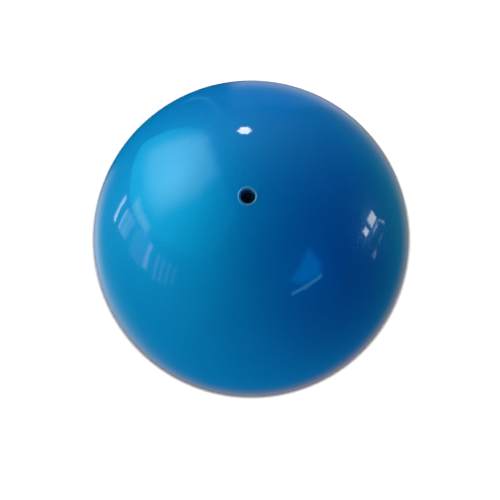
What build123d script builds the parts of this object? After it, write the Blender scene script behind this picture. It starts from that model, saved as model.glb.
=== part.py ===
from build123d import *
import math
import os

# Inflatable gymnastics ball with a recessed air plug, in millimetres.
# Origin at the centre of the ball. +Z is the valve's axis, out of its mouth.
# Three pieces: the moulded skin, the valve seat bonded into it, and the rubber
# plug that pulls straight out of the seat.

# Ball
BALL_RADIUS = 92.5         # a 185 mm ball, inside the 180 to 200 mm of competition
SKIN_WALL = 3.15           # brings the soft PVC ball to just over 400 g

# Valve seat. Depths are along its axis, from the top of the ball.
MOUTH_RADIUS = 3.75        # what a pump's nozzle goes into
LIP_ROUND = 1.0            # radius of the rounded bead round the mouth
NECK_RADIUS = 5.4          # where the bead meets the skin, and the skin's hole
PLUG_DEPTH = 6.0           # the plug's face lies this far below the surface
SEAT_DEPTH = 25.0          # inner end of the seat's tube
SEAT_TOP_RADIUS = 3.65     # tapered bore under the mouth
SEAT_END_RADIUS = 3.1
TUBE_RADIUS = 7.0
TUBE_CHAMFER = 0.6
FLANGE_RADIUS = 14.0
FLANGE_WALL = 1.5
ROOT_ROUND = 1.5           # fillet between the flange and the tube

# Plug
PLUG_LENGTH = 15.0
PLUG_CLEARANCE = 0.05      # radial, between the plug's widest places and the seat
HEAD_LENGTH = 2.6          # full-width band under the plug's face
HEAD_ROUND = 0.5
RIB_COUNT = 3
RIB_LENGTH = 1.6
RIB_HEIGHT = 0.3
NOSE_LENGTH = 1.5          # between the last rib's share of the length and the end
NOSE_CHAMFER = 0.8
SOCKET_RADIUS = 1.0        # blind hole that a puller grips
SOCKET_DEPTH = 6.0
SOCKET_CHAMFER = 0.25

INNER_RADIUS = BALL_RADIUS - SKIN_WALL
FLANGE_INNER_RADIUS = INNER_RADIUS - FLANGE_WALL
PLUG_TOP = BALL_RADIUS - PLUG_DEPTH
PLUG_END = PLUG_TOP - PLUG_LENGTH
SEAT_END = BALL_RADIUS - SEAT_DEPTH


def sphere_point(sphere_radius, radius):
    """Point of a sphere's half section, at a distance from the axis."""
    return (radius, math.sqrt(sphere_radius**2 - radius**2))


def sphere_arc(sphere_radius, start_radius, end_radius):
    """Arc along a sphere's half section, between two distances from the axis."""
    middle_radius = (start_radius + end_radius) / 2
    radii = (start_radius, middle_radius, end_radius)
    return ThreePointArc(*[sphere_point(sphere_radius, radius) for radius in radii])


def seat_radius(height):
    """Radius of the seat's tapered bore at a height."""
    share = (PLUG_TOP - height) / (PLUG_TOP - SEAT_END)
    return SEAT_TOP_RADIUS + share * (SEAT_END_RADIUS - SEAT_TOP_RADIUS)


def turned(*edges):
    """Solid turned round the valve's axis from a closed half section."""
    outline = Curve() + list(edges)
    return revolve(make_face(Plane.XZ * outline), Axis.Z)


def ball_skin():
    """Hollow moulded skin with one hole for the valve seat."""
    skin = Sphere(BALL_RADIUS) - Sphere(INNER_RADIUS)
    hole = Pos(0, 0, BALL_RADIUS) * Cylinder(NECK_RADIUS, 4 * SKIN_WALL)
    return skin - hole


def valve_seat():
    """Moulded collar: beaded mouth, neck, bonding flange and tapered tube."""
    bead_end = sphere_point(BALL_RADIUS, NECK_RADIUS)
    bead_reach = NECK_RADIUS - MOUTH_RADIUS - LIP_ROUND
    lip_height = bead_end[1] - math.sqrt(LIP_ROUND**2 - bead_reach**2)
    lip_start = (MOUTH_RADIUS, lip_height)
    crown = (MOUTH_RADIUS + LIP_ROUND, lip_height + LIP_ROUND)
    flange_edge = sphere_point(INNER_RADIUS, FLANGE_RADIUS)
    flange_under = sphere_point(FLANGE_INNER_RADIUS, FLANGE_RADIUS)
    seat = turned(
        ThreePointArc(lip_start, crown, bead_end),
        Line(bead_end, sphere_point(INNER_RADIUS, NECK_RADIUS)),
        sphere_arc(INNER_RADIUS, NECK_RADIUS, FLANGE_RADIUS),
        Line(flange_edge, flange_under),
        sphere_arc(FLANGE_INNER_RADIUS, FLANGE_RADIUS, TUBE_RADIUS),
        Polyline(
            sphere_point(FLANGE_INNER_RADIUS, TUBE_RADIUS),
            (TUBE_RADIUS, SEAT_END + TUBE_CHAMFER),
            (TUBE_RADIUS - TUBE_CHAMFER, SEAT_END),
            (SEAT_END_RADIUS, SEAT_END),
            (SEAT_TOP_RADIUS, PLUG_TOP),
            (MOUTH_RADIUS, PLUG_TOP),
            lip_start,
        ),
    )
    root_height = sphere_point(FLANGE_INNER_RADIUS, TUBE_RADIUS)[1]
    root = seat.edges().filter_by_position(Axis.Z, root_height - 0.1, root_height + 0.1)
    return fillet(root, ROOT_ROUND)


def plug_radius(height):
    """Radius of the plug's head and rib crests at a height."""
    return seat_radius(height) - PLUG_CLEARANCE


def core_point(height):
    """Point of the plug's half section between its ribs."""
    return (plug_radius(height) - RIB_HEIGHT, height)


def air_plug():
    """Tapered rubber stopper with sealing ribs and a blind puller socket."""
    socket_end = PLUG_TOP - SOCKET_DEPTH
    head_end = PLUG_TOP - HEAD_LENGTH
    shoulder = (plug_radius(PLUG_TOP - HEAD_ROUND), PLUG_TOP - HEAD_ROUND)
    face_edge = (shoulder[0] - HEAD_ROUND, PLUG_TOP)
    half_turn = HEAD_ROUND * math.sin(math.radians(45))
    head_middle = (face_edge[0] + half_turn, shoulder[1] + half_turn)
    edges = [
        Polyline(
            (0, socket_end),
            (SOCKET_RADIUS, socket_end),
            (SOCKET_RADIUS, PLUG_TOP - SOCKET_CHAMFER),
            (SOCKET_RADIUS + SOCKET_CHAMFER, PLUG_TOP),
            face_edge,
        ),
        ThreePointArc(face_edge, head_middle, shoulder),
    ]
    core_start = core_point(head_end - RIB_HEIGHT)
    edges.append(Polyline(shoulder, (plug_radius(head_end), head_end), core_start))
    rib_pitch = (PLUG_LENGTH - HEAD_LENGTH - NOSE_LENGTH) / RIB_COUNT
    for rib in range(RIB_COUNT):
        crest = head_end - rib_pitch * (rib + 0.7)
        rib_start = core_point(crest + RIB_LENGTH / 2)
        rib_end = core_point(crest - RIB_LENGTH / 2)
        edges.append(Line(core_start, rib_start))
        edges.append(ThreePointArc(rib_start, (plug_radius(crest), crest), rib_end))
        core_start = rib_end
    nose_start = core_point(PLUG_END + NOSE_CHAMFER)
    edges.append(
        Polyline(
            core_start,
            nose_start,
            (nose_start[0] - NOSE_CHAMFER, PLUG_END),
            (0, PLUG_END),
            (0, socket_end),
        )
    )
    return turned(*edges)


os.makedirs("parts", exist_ok=True)
export_step(ball_skin(), "parts/ball_skin.step")
export_step(valve_seat(), "parts/valve_seat.step")
export_step(air_plug(), "parts/air_plug.step")
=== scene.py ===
import math

import bpy
from mathutils import Matrix, Vector


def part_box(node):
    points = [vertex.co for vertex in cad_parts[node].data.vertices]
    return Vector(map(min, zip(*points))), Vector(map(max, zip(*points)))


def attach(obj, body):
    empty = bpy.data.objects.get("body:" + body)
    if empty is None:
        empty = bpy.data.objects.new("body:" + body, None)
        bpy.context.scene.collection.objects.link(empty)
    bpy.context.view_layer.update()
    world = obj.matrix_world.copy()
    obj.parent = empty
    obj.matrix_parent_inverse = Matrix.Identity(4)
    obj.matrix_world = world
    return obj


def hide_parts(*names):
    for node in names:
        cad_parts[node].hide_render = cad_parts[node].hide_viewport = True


# Inflatable gymnastics ball on a pale floor. Metres throughout, in the frame of
# the CAD model: origin at the ball's centre, +Z along the valve's axis.

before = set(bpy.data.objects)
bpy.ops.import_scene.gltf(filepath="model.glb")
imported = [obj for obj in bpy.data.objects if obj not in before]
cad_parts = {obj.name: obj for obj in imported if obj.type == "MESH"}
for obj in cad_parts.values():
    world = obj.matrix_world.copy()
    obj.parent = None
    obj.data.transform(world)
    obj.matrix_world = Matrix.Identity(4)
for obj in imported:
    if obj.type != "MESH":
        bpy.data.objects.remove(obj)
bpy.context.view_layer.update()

MM = 0.001
SKIN_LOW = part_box("ball_skin")[0]
SEAT_LOW, SEAT_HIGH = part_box("valve_seat")
PLUG_LOW, PLUG_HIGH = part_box("air_plug")
BALL_RADIUS = -SKIN_LOW.z
FLOOR_HEIGHT = SKIN_LOW.z

# The skin and the seat, with a faint moulding line round the skin's equator
SKIN_WALL = 3.15 * MM
MOUTH_RADIUS = 3.75 * MM
LIP_ROUND = 1.0 * MM
NECK_RADIUS = 5.4 * MM
SEAT_TOP_RADIUS = 3.65 * MM
SEAT_END_RADIUS = 3.1 * MM
TUBE_RADIUS = 7.0 * MM
TUBE_CHAMFER = 0.6 * MM
FLANGE_RADIUS = 14.0 * MM
FLANGE_WALL = 1.5 * MM
PARTING_HEIGHT = 0.03 * MM
PARTING_WIDTH = 0.35 * MM
INNER_RADIUS = BALL_RADIUS - SKIN_WALL
SKIN_SEGMENTS = 320
SEAT_SEGMENTS = 128

# The plug
PLUG_CLEARANCE = 0.05 * MM
HEAD_LENGTH = 2.6 * MM
HEAD_ROUND = 0.5 * MM
RIB_COUNT = 3
RIB_LENGTH = 1.6 * MM
RIB_HEIGHT = 0.3 * MM
RIB_PLACE = 0.7            # of a rib's pitch, from its start to its crest
RIB_STEPS = 12
NOSE_LENGTH = 1.5 * MM
NOSE_CHAMFER = 0.8 * MM
SOCKET_RADIUS = 1.0 * MM
SOCKET_DEPTH = 6.0 * MM
SOCKET_CHAMFER = 0.25 * MM
PLUG_SEGMENTS = 96

# Meshes
ON_AXIS = 1e-7             # a point this near the axis closes the surface
SHARP_ANGLE = math.radians(40)

# Surface detail: cells per metre, and depths
CLOUD_SCALE = 30.0
FLAKE_SCALE = 800.0
FLAKE_DEPTH = 0.2 * MM
PEEL_SCALE = 320.0
PEEL_DEPTH = 0.02 * MM
SPECKLE_SCALE = 2500.0
SPECKLE_DEPTH = 0.02 * MM

# The floor, which glows fully only far from the ball
FLOOR_HALF = 30.0
FLOOR_GREY = 0.45
FLOOR_BOUNCE_GREY = 0.08
FLOOR_GLOW_START = 0.25
FLOOR_GLOW_FULL = 1.0
FLOOR_GLOW_NEAR = 0.05

# The small lamp that whitens the floor, from near the camera
WASH_STRENGTH = 103.0
WASH_RADIUS = 12.0 * MM
WASH_ELEVATION = math.radians(77.1)
WASH_DISTANCE = 7.5 * BALL_RADIUS

# The camera, and how far below and left of the ball's centre it aims
CAMERA_ELEVATION = math.radians(76.3)
CAMERA_DISTANCE = 8.0 * BALL_RADIUS
CAMERA_ROLL = math.radians(-4.7)
CAMERA_LENS = 90.05
AIM_LOW = 6.9 * MM
AIM_LEFT = 1.2 * MM


def arc(centre, radius, start, end, steps):
    """Points on an arc in the half plane (distance from axis, height)."""
    points = []
    for step in range(steps + 1):
        angle = math.radians(start + (end - start) * step / steps)
        points.append(
            (centre[0] + radius * math.cos(angle), centre[1] + radius * math.sin(angle))
        )
    return points


def polar_angle(radius, point_radius):
    """Angle above the equator, in degrees, of a sphere's point near the valve."""
    return math.degrees(math.acos(point_radius / radius))


def turned(name, outline, segments, body, node, material):
    """Closed surface turned round +Z from a closed outline, smooth but for sharp corners."""
    mesh = bpy.data.meshes.new(name)
    vertices = []
    rings = []
    for radius, height in outline:
        if radius < ON_AXIS:
            rings.append([len(vertices)])
            vertices.append((0.0, 0.0, height))
            continue
        ring = []
        for segment in range(segments):
            angle = 2 * math.pi * segment / segments
            ring.append(len(vertices))
            vertices.append((radius * math.cos(angle), radius * math.sin(angle), height))
        rings.append(ring)
    faces = []
    for index, ring in enumerate(rings):
        below = rings[(index + 1) % len(rings)]
        if len(ring) == 1 and len(below) == 1:
            continue
        for segment in range(segments):
            after = (segment + 1) % segments
            if len(ring) == 1:
                faces.append((ring[0], below[segment], below[after]))
            elif len(below) == 1:
                faces.append((ring[segment], below[0], ring[after]))
            else:
                faces.append((ring[segment], below[segment], below[after], ring[after]))
    mesh.from_pydata(vertices, [], faces)
    mesh.validate()
    mesh.shade_smooth()
    mesh.set_sharp_from_angle(angle=SHARP_ANGLE)
    piece = bpy.data.objects.new(name, mesh)
    bpy.context.scene.collection.objects.link(piece)
    mesh.materials.append(material)
    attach(piece, body)
    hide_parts(node)
    return piece


def principled(name):
    """A new node material: its tree and its Principled shader."""
    material = bpy.data.materials.new(name)
    material.use_nodes = True
    tree = material.node_tree
    return material, tree, tree.nodes["Principled BSDF"]


def noise(tree, scale, detail):
    """Noise texture in object coordinates; scale is in cells per metre."""
    place = tree.nodes.new("ShaderNodeTexCoord")
    texture = tree.nodes.new("ShaderNodeTexNoise")
    texture.inputs["Scale"].default_value = scale
    texture.inputs["Detail"].default_value = detail
    tree.links.new(place.outputs["Object"], texture.inputs["Vector"])
    return texture.outputs["Fac"]


def bump(tree, height, distance):
    """Bump from a height signal; distance is its depth in metres."""
    node = tree.nodes.new("ShaderNodeBump")
    node.inputs["Distance"].default_value = distance
    node.inputs["Strength"].default_value = 1.0
    tree.links.new(height, node.inputs["Height"])
    return node.outputs["Normal"]


def ramp(tree, signal, stops):
    """Colour ramp over a signal."""
    node = tree.nodes.new("ShaderNodeValToRGB")
    elements = node.color_ramp.elements
    while len(elements) < len(stops):
        elements.new(0.5)
    for element, (position, colour) in zip(elements, stops):
        element.position = position
        element.color = (*colour, 1.0)
    tree.links.new(signal, node.inputs["Fac"])
    return node.outputs["Color"]


def pearl_pvc(name, deep, light, pearl):
    """Pearl PVC: a deep body colour, a broad pearly lobe and a clear gloss on top."""
    material, tree, shader = principled(name)
    cloud = noise(tree, CLOUD_SCALE, 3.0)
    tree.links.new(ramp(tree, cloud, [(0.3, deep), (0.7, light)]), shader.inputs["Base Color"])
    flakes = noise(tree, FLAKE_SCALE, 2.0)
    tree.links.new(bump(tree, flakes, FLAKE_DEPTH), shader.inputs["Normal"])
    peel = noise(tree, PEEL_SCALE, 3.0)
    tree.links.new(bump(tree, peel, PEEL_DEPTH), shader.inputs["Coat Normal"])
    shader.inputs["Roughness"].default_value = 0.45
    shader.inputs["IOR"].default_value = 1.9
    shader.inputs["Specular Tint"].default_value = (*pearl, 1.0)
    shader.inputs["Coat Weight"].default_value = 1.0
    shader.inputs["Coat Roughness"].default_value = 0.02
    shader.inputs["Coat IOR"].default_value = 1.5
    return material


def plug_rubber():
    """Near-black rubber with a fine speckle."""
    material, tree, shader = principled("plug_rubber")
    speckle = noise(tree, SPECKLE_SCALE, 3.0)
    colours = ramp(tree, speckle, [(0.35, (0.004, 0.004, 0.005)), (0.7, (0.012, 0.012, 0.014))])
    tree.links.new(colours, shader.inputs["Base Color"])
    tree.links.new(bump(tree, speckle, SPECKLE_DEPTH), shader.inputs["Normal"])
    shader.inputs["Roughness"].default_value = 0.5
    shader.inputs["IOR"].default_value = 1.5
    shader.inputs["Specular IOR Level"].default_value = 0.15
    return material


def make_skin(material):
    """The moulded skin: an outer and an inner sphere that meet at the valve's hole."""
    top = polar_angle(BALL_RADIUS, NECK_RADIUS)
    inner_top = polar_angle(INNER_RADIUS, NECK_RADIUS)
    outer = arc((0, 0), BALL_RADIUS, top, -90, 220)
    inner = arc((0, 0), INNER_RADIUS, -90, inner_top, 90)
    outline = []
    for radius, height in outer:
        rise = PARTING_HEIGHT * math.exp(-((height / PARTING_WIDTH) ** 2))
        outline.append((max(radius, 0.0) * (1 + rise / BALL_RADIUS), height))
    outline += [(max(radius, 0.0), height) for radius, height in inner]
    return turned("skin", outline, SKIN_SEGMENTS, "ball", "ball_skin", material)


def make_seat(material):
    """The valve seat: beaded mouth, neck, bonding flange and tapered tube."""
    reach = NECK_RADIUS - MOUTH_RADIUS - LIP_ROUND
    lip_height = SEAT_HIGH.z - LIP_ROUND
    bead = arc((MOUTH_RADIUS + LIP_ROUND, lip_height), LIP_ROUND, 180, 0, 24)
    bead = [point for point in bead if point[0] < MOUTH_RADIUS + LIP_ROUND + reach]
    flange_radius = INNER_RADIUS - FLANGE_WALL
    top = polar_angle(INNER_RADIUS, NECK_RADIUS)
    edge = polar_angle(INNER_RADIUS, FLANGE_RADIUS)
    under = polar_angle(flange_radius, FLANGE_RADIUS)
    root = polar_angle(flange_radius, TUBE_RADIUS)
    outline = bead
    outline.append((NECK_RADIUS, math.sqrt(BALL_RADIUS**2 - NECK_RADIUS**2)))
    outline += arc((0, 0), INNER_RADIUS, top, edge, 12)
    outline += arc((0, 0), flange_radius, under, root, 10)
    outline += [
        (TUBE_RADIUS, SEAT_LOW.z + TUBE_CHAMFER),
        (TUBE_RADIUS - TUBE_CHAMFER, SEAT_LOW.z),
        (SEAT_END_RADIUS, SEAT_LOW.z),
        (SEAT_TOP_RADIUS, PLUG_HIGH.z),
        (MOUTH_RADIUS, PLUG_HIGH.z),
    ]
    outline.reverse()
    return turned("seat", outline, SEAT_SEGMENTS, "ball", "valve_seat", material)


def plug_radius(height):
    """Radius of the plug's head and rib crests at a height."""
    share = (PLUG_HIGH.z - height) / (PLUG_HIGH.z - SEAT_LOW.z)
    return SEAT_TOP_RADIUS + share * (SEAT_END_RADIUS - SEAT_TOP_RADIUS) - PLUG_CLEARANCE


def make_plug(material):
    """The rubber plug: socketed face, rounded head, three ribs and a chamfered nose."""
    top = PLUG_HIGH.z
    length = PLUG_HIGH.z - PLUG_LOW.z
    head_end = top - HEAD_LENGTH
    shoulder = plug_radius(top - HEAD_ROUND)
    outline = [
        (0.0, top - SOCKET_DEPTH),
        (SOCKET_RADIUS, top - SOCKET_DEPTH),
        (SOCKET_RADIUS, top - SOCKET_CHAMFER),
        (SOCKET_RADIUS + SOCKET_CHAMFER, top),
    ]
    outline += arc((shoulder - HEAD_ROUND, top - HEAD_ROUND), HEAD_ROUND, 90, 0, 8)
    outline.append((plug_radius(head_end), head_end))
    core_start = head_end - RIB_HEIGHT
    outline.append((plug_radius(core_start) - RIB_HEIGHT, core_start))
    pitch = (length - HEAD_LENGTH - NOSE_LENGTH) / RIB_COUNT
    for rib in range(RIB_COUNT):
        crest = head_end - pitch * (rib + RIB_PLACE)
        for step in range(RIB_STEPS + 1):
            share = 2 * step / RIB_STEPS - 1
            height = crest - share * RIB_LENGTH / 2
            outline.append((plug_radius(height) - RIB_HEIGHT * share**2, height))
    nose = PLUG_LOW.z + NOSE_CHAMFER
    nose_radius = plug_radius(nose) - RIB_HEIGHT
    outline.append((nose_radius, nose))
    outline.append((nose_radius - NOSE_CHAMFER, PLUG_LOW.z))
    outline.append((0.0, PLUG_LOW.z))
    return turned("plug", outline, PLUG_SEGMENTS, "plug", "air_plug", material)


def make_floor():
    """Large plain pale floor under the ball."""
    mesh = bpy.data.meshes.new("floor")
    signs = [(-1, -1), (1, -1), (1, 1), (-1, 1)]
    corners = [(x * FLOOR_HALF, y * FLOOR_HALF, FLOOR_HEIGHT) for x, y in signs]
    mesh.from_pydata(corners, [], [(0, 1, 2, 3)])
    floor = bpy.data.objects.new("floor", mesh)
    bpy.context.scene.collection.objects.link(floor)
    material, tree, shader = principled("floor")
    shader.inputs["Base Color"].default_value = (FLOOR_GREY, FLOOR_GREY, FLOOR_GREY, 1.0)
    shader.inputs["Roughness"].default_value = 0.9
    shader.inputs["Specular IOR Level"].default_value = 0.0
    shader.inputs["Emission Color"].default_value = (1.0, 1.0, 1.0, 1.0)
    place = tree.nodes.new("ShaderNodeTexCoord")
    flat = tree.nodes.new("ShaderNodeVectorMath")
    flat.operation = "LENGTH"
    tree.links.new(place.outputs["Object"], flat.inputs[0])
    far = tree.nodes.new("ShaderNodeMapRange")
    far.interpolation_type = "SMOOTHSTEP"
    far.inputs["From Min"].default_value = FLOOR_GLOW_START
    far.inputs["From Max"].default_value = FLOOR_GLOW_FULL
    far.inputs["To Min"].default_value = FLOOR_GLOW_NEAR
    tree.links.new(flat.outputs["Value"], far.inputs["Value"])
    tree.links.new(far.outputs["Result"], shader.inputs["Emission Strength"])
    # It looks white, but lights the ball from below only a little
    dim = tree.nodes.new("ShaderNodeBsdfDiffuse")
    dim.inputs["Color"].default_value = (FLOOR_BOUNCE_GREY, FLOOR_BOUNCE_GREY, FLOOR_BOUNCE_GREY, 1.0)
    path = tree.nodes.new("ShaderNodeLightPath")
    mix = tree.nodes.new("ShaderNodeMixShader")
    tree.links.new(path.outputs["Is Diffuse Ray"], mix.inputs["Fac"])
    tree.links.new(shader.outputs["BSDF"], mix.inputs[1])
    tree.links.new(dim.outputs["BSDF"], mix.inputs[2])
    tree.links.new(mix.outputs["Shader"], tree.nodes["Material Output"].inputs["Surface"])
    mesh.materials.append(material)
    floor.visible_glossy = False


def direction(azimuth, elevation):
    """Unit vector; azimuth 0 is +Y and 90 is +X, in degrees."""
    azimuth = math.radians(azimuth)
    elevation = math.radians(elevation)
    flat = math.cos(elevation)
    return Vector((flat * math.sin(azimuth), flat * math.cos(azimuth), math.sin(elevation)))


def from_front(elevation):
    """Unit vector towards a place in front of the ball, at an elevation in radians."""
    return Vector((0.0, -math.cos(elevation), math.sin(elevation)))


def receivers(name, pieces):
    """Collection of the pieces that a light is linked to."""
    group = bpy.data.collections.new(name)
    for piece in pieces:
        group.objects.link(bpy.data.objects[piece])
    return group


def soft_sun(name, azimuth, elevation, spread, energy, colour, group):
    """Soft distant light that the gloss doesn't show; spread is its width in degrees."""
    data = bpy.data.lights.new(name, "SUN")
    data.energy = energy
    data.color = colour
    data.angle = math.radians(spread)
    sun = bpy.data.objects.new(name, data)
    sun.rotation_euler = direction(azimuth, elevation).to_track_quat("Z", "Y").to_euler()
    sun.visible_glossy = False
    bpy.context.scene.collection.objects.link(sun)
    sun.light_linking.receiver_collection = group


def make_lights():
    """Soft lights on the ball, and a soft one and a small one that whiten the floor."""
    white = (1.0, 1.0, 1.0)
    ball = receivers("ball_only", ["skin", "seat", "plug"])
    soft_sun("overhead", 0, 90, 120, 1.2, (0.3, 0.3, 1.0), ball)
    soft_sun("window_side", -62, 28, 60, 2.9, (1.0, 1.0, 0.5), ball)
    soft_sun("front_side", -150, 0, 100, 0.9, (1.0, 1.0, 0.8), ball)
    soft_sun("near_left", -120, 20, 80, 3.0, (1.0, 1.0, 0.45), ball)
    soft_sun("far_side", 8, 5, 80, 3.8, (1.0, 1.0, 0.8), ball)
    floor_only = receivers("floor_only", ["floor"])
    soft_sun("floor_overhead", 0, 90, 120, 1.5, white, floor_only)
    wash = bpy.data.lights.new("floor_wash", "POINT")
    wash.energy = 1.0
    wash.shadow_soft_size = WASH_RADIUS
    wash.use_nodes = True
    glow = wash.node_tree.nodes["Emission"]
    falloff = wash.node_tree.nodes.new("ShaderNodeLightFalloff")
    falloff.inputs["Strength"].default_value = WASH_STRENGTH
    wash.node_tree.links.new(falloff.outputs["Constant"], glow.inputs["Strength"])
    floor_wash = bpy.data.objects.new("floor_wash", wash)
    floor_wash.visible_glossy = False
    floor_wash.location = from_front(WASH_ELEVATION) * WASH_DISTANCE
    bpy.context.scene.collection.objects.link(floor_wash)
    floor_wash.light_linking.receiver_collection = floor_only


def bearing(place):
    """Azimuth and elevation of a vector, in degrees."""
    flat = math.hypot(place.x, place.y)
    return math.degrees(math.atan2(place.x, place.y)), math.degrees(math.atan2(place.z, flat))


class Room:
    """The room round the ball as its gloss shows it: a sum of glows and panes."""

    def __init__(self, tree, base):
        self.tree = tree
        place = tree.nodes.new("ShaderNodeTexCoord")
        self.view = place.outputs["Generated"]
        self.total = None
        self.base = base

    def maths(self, operation, first, second=None):
        node = self.tree.nodes.new("ShaderNodeMath")
        node.operation = operation
        for socket, value in zip(node.inputs, (first, second)):
            if value is None:
                continue
            if isinstance(value, (int, float)):
                socket.default_value = value
            else:
                self.tree.links.new(value, socket)
        return node.outputs["Value"]

    def along(self, axis):
        """How far the view direction points along an axis."""
        node = self.tree.nodes.new("ShaderNodeVectorMath")
        node.operation = "DOT_PRODUCT"
        self.tree.links.new(self.view, node.inputs[0])
        node.inputs[1].default_value = axis
        return node.outputs["Value"]

    def step(self, signal, soft):
        """Smooth step from 0 to 1 as a signal passes zero."""
        node = self.tree.nodes.new("ShaderNodeMapRange")
        node.interpolation_type = "SMOOTHSTEP"
        node.inputs["From Min"].default_value = -soft
        node.inputs["From Max"].default_value = soft
        self.tree.links.new(signal, node.inputs["Value"])
        return node.outputs["Result"]

    def add(self, signal, colour):
        """Adds a signal times a colour to the room."""
        node = self.tree.nodes.new("ShaderNodeVectorMath")
        node.operation = "MULTIPLY_ADD"
        self.tree.links.new(signal, node.inputs[0])
        node.inputs[1].default_value = colour
        if self.total is None:
            node.inputs[2].default_value = self.base
        else:
            self.tree.links.new(self.total, node.inputs[2])
        self.total = node.outputs["Vector"]

    def glow(self, azimuth, elevation, spread, colour, within=None):
        """Round glow that fades over a spread in degrees; within is a mask over it."""
        near = self.maths("SUBTRACT", self.along(direction(azimuth, elevation)), 1.0)
        signal = self.maths("EXPONENT", self.maths("MULTIPLY", near, 1 / math.radians(spread) ** 2))
        if within is not None:
            signal = self.maths("MULTIPLY", signal, within)
        self.add(signal, colour)

    def disc(self, azimuth, elevation, start, full):
        """Round mask that rises from 0 at one angle from its centre to 1 at another."""
        node = self.tree.nodes.new("ShaderNodeMapRange")
        node.interpolation_type = "SMOOTHSTEP"
        node.inputs["From Min"].default_value = math.cos(math.radians(start))
        node.inputs["From Max"].default_value = math.cos(math.radians(full))
        self.tree.links.new(self.along(direction(azimuth, elevation)), node.inputs["Value"])
        return node.outputs["Result"]

    def outline(self, corners, soft):
        """Mask that is 1 inside a convex outline of (azimuth, elevation) corners."""
        places = [direction(*corner) for corner in corners]
        middle = sum(places, Vector())
        signal = None
        for start, end in zip(places, places[1:] + places[:1]):
            across = start.cross(end).normalized()
            if across.dot(middle) < 0:
                across.negate()
            inside = self.along(across)
            signal = inside if signal is None else self.maths("MINIMUM", signal, inside)
        return self.step(signal, math.radians(soft))

    def pane(self, corners, soft, colour):
        """Evenly bright pane inside an outline."""
        self.add(self.outline(corners, soft), colour)

    def strip(self, start, end, width, soft, colour):
        """Thin bright line from one direction to another."""
        first, last = direction(*start), direction(*end)
        side = first.cross(last).normalized() * math.tan(math.radians(width / 2))
        edges = []
        for place, sign in ((first, 1), (last, 1), (last, -1), (first, -1)):
            edges.append(bearing(place + side * sign))
        self.pane(edges, soft, colour)


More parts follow.
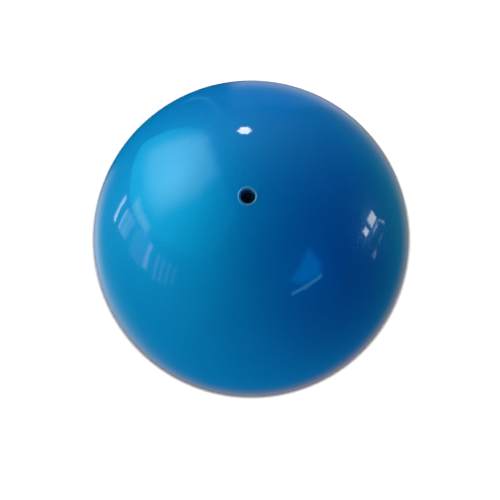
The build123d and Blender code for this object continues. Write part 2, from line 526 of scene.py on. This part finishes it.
def furnish(room):
    """Windows, lamps and floor round the ball, as its gloss shows them."""
    # Daylight: broad glows, mostly from the left, and the bright opening there
    room.glow(-56, 28, 27, (0.0, 1.15, 0.9))
    room.glow(-85, 50, 30, (0.0, 0.7, 0.6))
    room.glow(-110, 5, 33, (0.0, 0.65, 0.65))
    room.glow(-160, -10, 33, (0.0, 0.33, 0.4))
    room.glow(8, 5, 29, (0.0, 0.35, 0.6))
    right_edge = [(-45, -32), (-19.5, 10), (-30, 60), (-60, 80)]
    left_edge = [(-130, 60), (-113, 28), (-78, 4), (-59.5, -20)]
    opening = room.outline(right_edge + left_edge, 1.0)
    room.glow(-48, 5, 40, (0.05, 1.25, 1.3), opening)
    bright = room.outline([(-43, -11), (-20, 18), (-29, 50), (-60, 50), (-78, 22), (-61, 7)], 6.0)
    room.glow(-40, 22, 24, (1.2, 1.5, 1.4), bright)
    room.glow(-55, 28, 9, (0.7, 0.8, 0.7))
    # Floor seen low round the ball, with a dark curtain in front of it on the far left
    curtain = room.outline([(-30, -72), (-50, -25), (-3, -18), (1, -69)], 2.0)
    bare = room.maths("SUBTRACT", 1.0, curtain)
    floor_edge = room.disc(-3, -73, 46, 22)
    room.add(room.maths("MULTIPLY", floor_edge, bare), (0.25, 0.17, 0.09))
    room.glow(172, -34, 36, (0.0, 0.2, 0.42), room.maths("SUBTRACT", 1.0, floor_edge))
    room.glow(70, -28, 26, (0.0, 0.28, 0.1))
    room.glow(-68, -34, 22, (0.0, 0.3, 0.36))
    room.glow(-95, -57, 10, (0.22, 0.2, 0.16))
    room.glow(-62, -57, 7, (0.35, 0.3, 0.28), bare)
    room.glow(35, -48, 13, (0.12, 0.08, 0.04), bare)
    room.pane([(-4, 0), (-1, -52), (35, -54), (22, -12)], 1.5, (0.05, 0.12, 0.25))
    # Thin pale edge that curves down beside the curtain
    edge = [(-19, -37), (-14.6, -39), (-11.4, -27), (-10.3, -5), (-10.3, 13)]
    for start, end in zip(edge, edge[1:]):
        room.strip(start, end, 1.4, 0.9, (0.08, 0.3, 0.3))
    # Ceiling lamp
    lamp = [(-3.3, 21.3), (-0.7, 18.7), (2.5, 18.9), (4.8, 21.9), (2.6, 25.2), (-1.2, 24.9)]
    room.pane(lamp, 0.8, (15.0, 14.5, 15.0))
    # Window row, left
    room.strip((-64.0, -12), (-72.0, -23), 2.8, 0.7, (2.6, 2.6, 2.6))
    room.strip((-64.6, -11), (-72.8, -22), 0.8, 0.4, (2.2, 2.2, 2.0))
    room.pane([(-70, -6.7), (-78.1, 3.2), (-84.1, -10.1), (-76.4, -17.9)], 1.0, (0.6, 0.8, 0.9))
    room.strip((-70.6, -7.2), (-76.6, -16.6), 2.2, 0.7, (1.0, 1.0, 1.2))
    room.strip((-73.4, -1.3), (-80.5, -12.1), 1.3, 0.7, (0.5, 0.5, 0.6))
    wide_pane = [(-80.5, 3.7), (-88, 15.2), (-93, 15.5), (-101.8, 1), (-97.5, -3.5), (-89.7, -7.8)]
    room.pane(wide_pane, 1.2, (0.3, 0.35, 0.7))
    room.strip((-93, 15.5), (-102.2, 2), 3.4, 1.0, (1.5, 1.3, 1.8))
    room.pane([(-95, 17), (-103, 1.5), (-117, 10), (-112, 25)], 3.0, (0.05, 0.1, 0.3))
    for stripe in range(4):
        fade = 0.55 - 0.1 * stripe
        high = (-101.3 - 4.3 * stripe, 19.1 + 2.6 * stripe)
        low = (-110 - 3.4 * stripe, 5 + 3.2 * stripe)
        room.strip(high, low, 1.9, 0.9, (fade, fade, 1.7 * fade))
    room.strip((-67.3, 0), (-84.3, 14), 5.5, 2.0, (1.1, 0.9, 0.8))
    # Windows, right
    room.pane([(79.6, -6), (82.2, -10.4), (88, -5), (85, 0)], 0.8, (5.5, 5.5, 5.2))
    room.strip((84.6, -11.4), (89.9, -6.5), 1.5, 0.8, (1.8, 1.9, 2.2))
    room.pane([(88.7, 1), (90.6, -2.3), (94, 0.3), (91.8, 4)], 0.8, (7.0, 7.0, 7.0))
    room.strip((83, -11.6), (82.6, -19.5), 0.9, 0.6, (1.6, 1.8, 1.8))
    room.strip((88.5, -16.5), (93.2, -14), 0.9, 0.6, (0.7, 1.0, 1.2))
    room.pane([(96.5, -11.6), (98.3, -13.6), (101.8, -12.6), (100.2, -9.2)], 1.0, (0.9, 1.1, 1.3))
    room.pane([(95, 7), (98.5, 1), (88, -12), (78, -4), (80, 3)], 2.5, (0.15, 0.4, 0.5))
    # Pale corner, near right
    room.pane([(118, 44), (122, 31), (128, 25), (143, 31), (149, 38)], 3.0, (0.0, 1.0, 2.5))
    room.strip((128.5, 24.5), (153, 29), 2.2, 1.0, (0.4, 2.0, 2.6))


def make_world():
    """White backdrop for the camera, and the room for the ball's gloss."""
    world = bpy.data.worlds.new("room")
    bpy.context.scene.world = world
    world.use_nodes = True
    world.cycles_visibility.diffuse = False
    tree = world.node_tree
    tree.nodes.clear()
    room = Room(tree, (0.0, 0.0, 0.12))
    furnish(room)
    surroundings = tree.nodes.new("ShaderNodeBackground")
    tree.links.new(room.total, surroundings.inputs["Color"])
    backdrop = tree.nodes.new("ShaderNodeBackground")
    backdrop.inputs["Color"].default_value = (1.0, 1.0, 1.0, 1.0)
    path = tree.nodes.new("ShaderNodeLightPath")
    mix = tree.nodes.new("ShaderNodeMixShader")
    output = tree.nodes.new("ShaderNodeOutputWorld")
    tree.links.new(path.outputs["Is Camera Ray"], mix.inputs["Fac"])
    tree.links.new(surroundings.outputs["Background"], mix.inputs[1])
    tree.links.new(backdrop.outputs["Background"], mix.inputs[2])
    tree.links.new(mix.outputs["Shader"], output.inputs["Surface"])


def make_camera():
    """Long-lens camera looking down at the valve from the front."""
    data = bpy.data.cameras.new("camera")
    data.lens = CAMERA_LENS
    data.clip_end = 100.0
    camera = bpy.data.objects.new("camera", data)
    bpy.context.scene.collection.objects.link(camera)
    place = from_front(CAMERA_ELEVATION) * CAMERA_DISTANCE
    up = Vector((0, math.sin(CAMERA_ELEVATION), math.cos(CAMERA_ELEVATION)))
    aim = -up * AIM_LOW - Vector((1, 0, 0)) * AIM_LEFT
    turn = (aim - place).to_track_quat("-Z", "Y").to_matrix().to_4x4()
    camera.matrix_world = Matrix.Translation(place) @ turn @ Matrix.Rotation(CAMERA_ROLL, 4, "Z")
    bpy.context.scene.camera = camera


make_camera()
make_world()
make_floor()
make_skin(pearl_pvc("pearl_skin", (0.0, 0.058, 0.268), (0.0, 0.066, 0.295), (0.0, 0.62, 1.0)))
make_seat(pearl_pvc("valve_collar", (0.015, 0.07, 0.22), (0.02, 0.09, 0.26), (0.08, 0.52, 0.95)))
make_plug(plug_rubber())
make_lights()
bpy.context.scene.view_settings.view_transform = "Standard"
